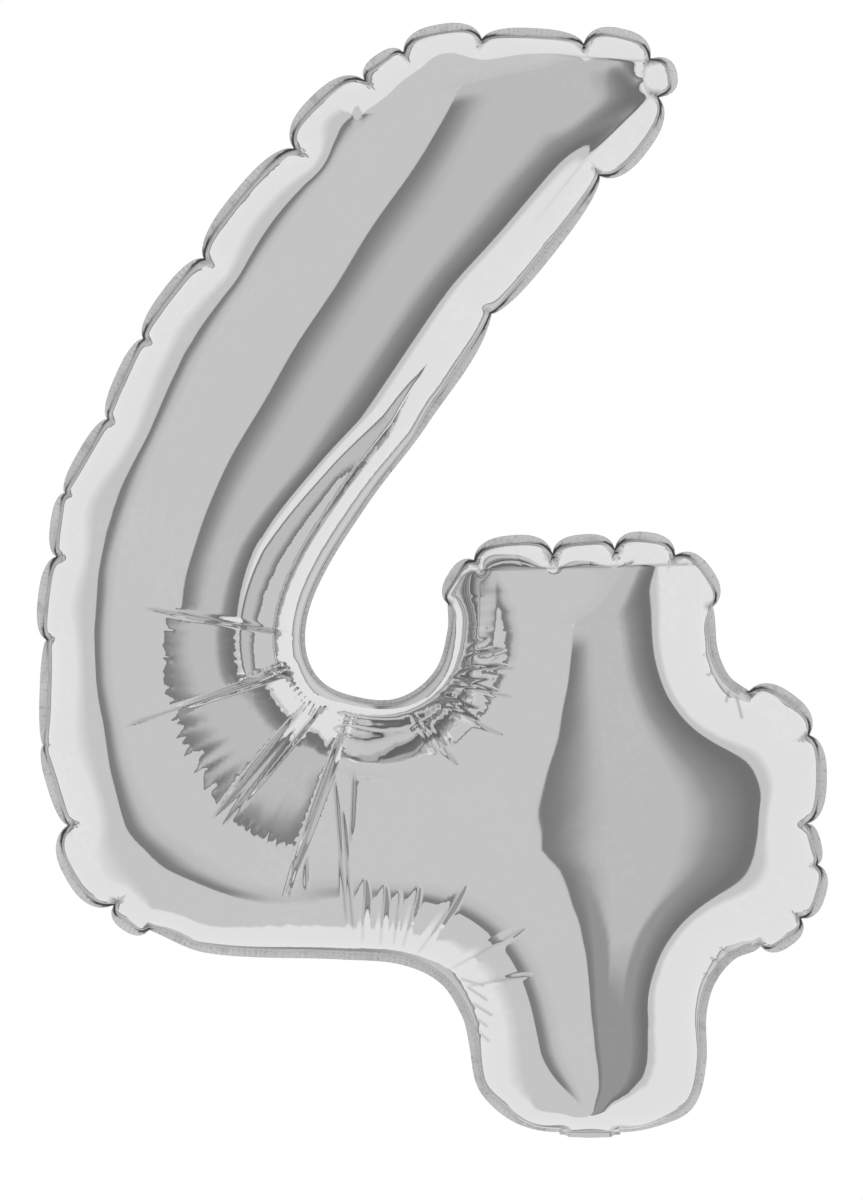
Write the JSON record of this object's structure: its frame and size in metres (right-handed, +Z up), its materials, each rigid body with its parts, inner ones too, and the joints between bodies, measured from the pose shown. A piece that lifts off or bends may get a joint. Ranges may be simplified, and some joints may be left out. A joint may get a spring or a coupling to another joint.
{
  "type": "foil number balloon",
  "caption": "Inflated silver foil balloon shaped as the digit 4, with a puckered heat-sealed seam, a self-sealing valve in the neck and a fill tail that folds up behind the foot.",
  "frame": {"origin": "middle of the neck's lower edge, at the bottom of the foot, in the seam plane", "axes": "+Z up the digit, +X to the right as the digit is read, +Y from the front panel through the seam to the back panel"},
  "size_m": [0.2406, 0.0824, 0.3399],
  "materials": {
    "front_foil": "polished",
    "back_foil": "polished",
    "valve_front": "satin",
    "valve_back": "satin",
    "tail_front": "polished",
    "tail_back": "polished"
  },
  "bodies": {
    "balloon": {"front_foil_panel": "front_foil", "back_foil_panel": "back_foil", "valve_front_film": "valve_front", "valve_back_film": "valve_back"},
    "tail": {"tail_front_ply": "tail_front", "tail_back_ply": "tail_back"}
  },
  "joints": [
    {"name": "tail_fold", "type": "hinge", "parent": "balloon", "child": "tail", "pos_m": [0, 0, -0.00106], "axis": [-1, 0, 0], "range_deg": [0, 120]}
  ]
}
